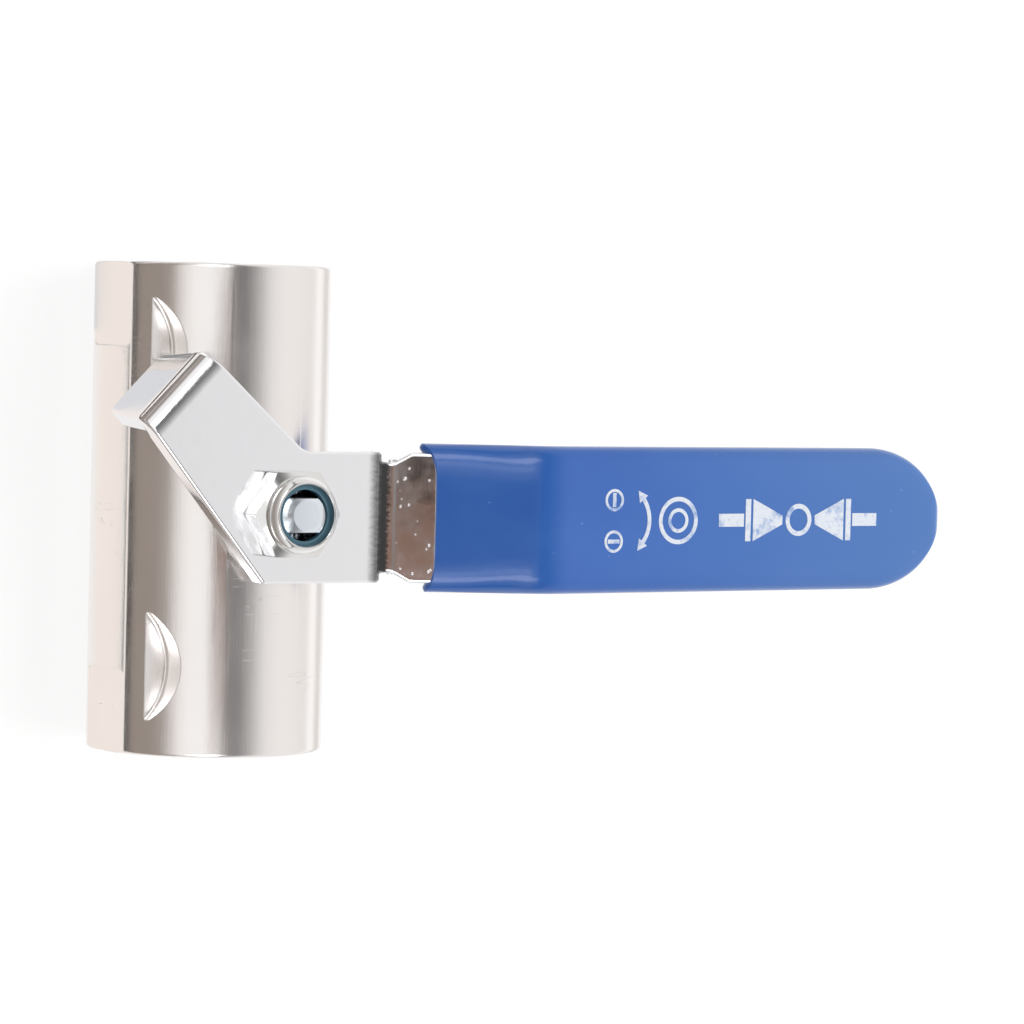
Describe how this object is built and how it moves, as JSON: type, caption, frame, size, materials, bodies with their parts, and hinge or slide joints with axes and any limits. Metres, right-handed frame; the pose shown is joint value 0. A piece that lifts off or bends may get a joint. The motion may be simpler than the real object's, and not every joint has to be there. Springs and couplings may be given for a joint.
{
  "type": "lever ball valve",
  "caption": "Compact round-bodied ball valve with female threaded ends, wrench flats, stop notches and a cranked quarter-turn lever with a vinyl sleeve.",
  "frame": {"origin": "centre of the inlet mouth, on the pipe axis", "axes": "+Y along the pipe axis from the inlet to the outlet, +Z along the stem towards the lock nut, +X along the lever when the valve is shut"},
  "size_m": [0.1097, 0.0585, 0.0433],
  "materials": {
    "body_steel": "machined stainless bar, satin with fine scratches",
    "ball_steel": "polished stainless",
    "retainer_steel": "turned stainless",
    "stem_steel": "turned stainless, bright",
    "seat_ptfe": "PTFE, waxy white",
    "packing_ptfe": "PTFE, waxy white",
    "gland_steel": "plated steel",
    "lever_plated": "bright plated pressed steel with small pits",
    "sleeve_vinyl": "dipped blue vinyl with worn white print",
    "nut_plated": "bright plated steel",
    "nylon": "dark blue nylon"
  },
  "bodies": {
    "valve_body": {"body": "body_steel", "seat_retainer": "retainer_steel", "joint_gasket": "seat_ptfe", "seat_inlet": "seat_ptfe", "seat_outlet": "seat_ptfe", "thrust_washer": "packing_ptfe", "packing_lower": "packing_ptfe", "packing_upper": "packing_ptfe", "gland_ring": "gland_steel", "gland_nut": "gland_steel"},
    "turning_stem": {"stem": "stem_steel", "lever": "lever_plated", "grip_sleeve": "sleeve_vinyl", "lock_nut": "nut_plated", "nylon_ring": "nylon"},
    "floating_ball": {"ball": "ball_steel"}
  },
  "joints": [
    {"name": "lever_turn", "type": "hinge", "parent": "valve_body", "child": "turning_stem", "pos_m": [0, 0.02925, 0], "axis": [0, 0, 1], "range_deg": [0, 90]},
    {"name": "ball_turn", "type": "hinge", "parent": "valve_body", "child": "floating_ball", "pos_m": [0, 0.02925, 0], "axis": [0, 0, 1], "range_deg": [0, 90]}
  ],
  "couplings": [
    {"joint": "ball_turn", "follows": "lever_turn", "ratio": 1}
  ]
}
